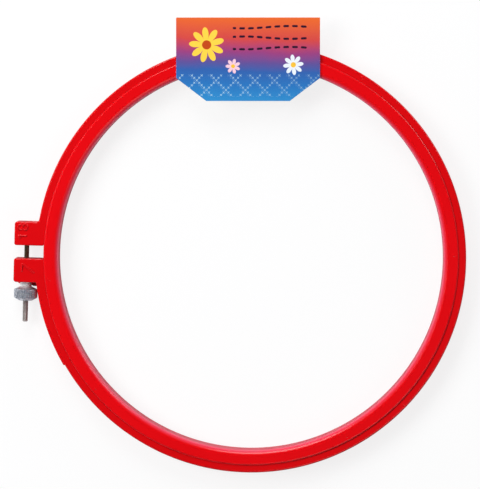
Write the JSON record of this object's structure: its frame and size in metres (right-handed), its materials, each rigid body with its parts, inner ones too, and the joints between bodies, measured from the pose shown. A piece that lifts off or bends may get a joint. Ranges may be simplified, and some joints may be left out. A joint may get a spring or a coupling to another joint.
{
  "type": "embroidery hoop",
  "caption": "Round plastic embroidery hoop: inner ring in a split outer ring with a screw clamp and a knurled nut, and a printed card on its front.",
  "frame": {"origin": "on the hoop's axis in the plane of the outer ring's rear face, on which the hoop lies", "axes": "+Z points out of the hoop's front face, +Y to the top of the hoop where the card is, -X to the clamp lugs; the clamp screw lies along Y"},
  "size_m": [0.1961, 0.1983, 0.0122],
  "materials": {
    "ring_plastic": "glossy moulded",
    "screw_steel": "bright drawn, slightly oiled",
    "nut_plating": "nickel plated, knurled",
    "card_board": "printed card",
    "glue": "dried glue"
  },
  "bodies": {
    "outer": {"outer_ring": "ring_plastic", "clamp_screw": "screw_steel"},
    "inner": {"inner_ring": "ring_plastic", "header_card": "card_board", "glue_dots": "glue"},
    "washer": {"washer": "screw_steel"},
    "nut": {"thumb_nut": "nut_plating"}
  },
  "joints": [
    {"name": "inner_ring_lift", "type": "slide", "parent": "outer", "child": "inner", "axis": [0, 0, 1], "range_m": [0, 0.014]},
    {"name": "nut_travel", "type": "slide", "parent": "outer", "child": "washer", "axis": [0, -1, 0], "range_m": [0, 0.0081]},
    {"name": "nut_spin", "type": "hinge", "parent": "washer", "child": "nut", "pos_m": [-0.0977, -0.018, 0.0054], "axis": [0, -1, 0], "range_deg": [0, 6482]}
  ],
  "couplings": [
    {"joint": "nut_spin", "follows": "nut_travel", "rad_per_m": 13963}
  ]
}
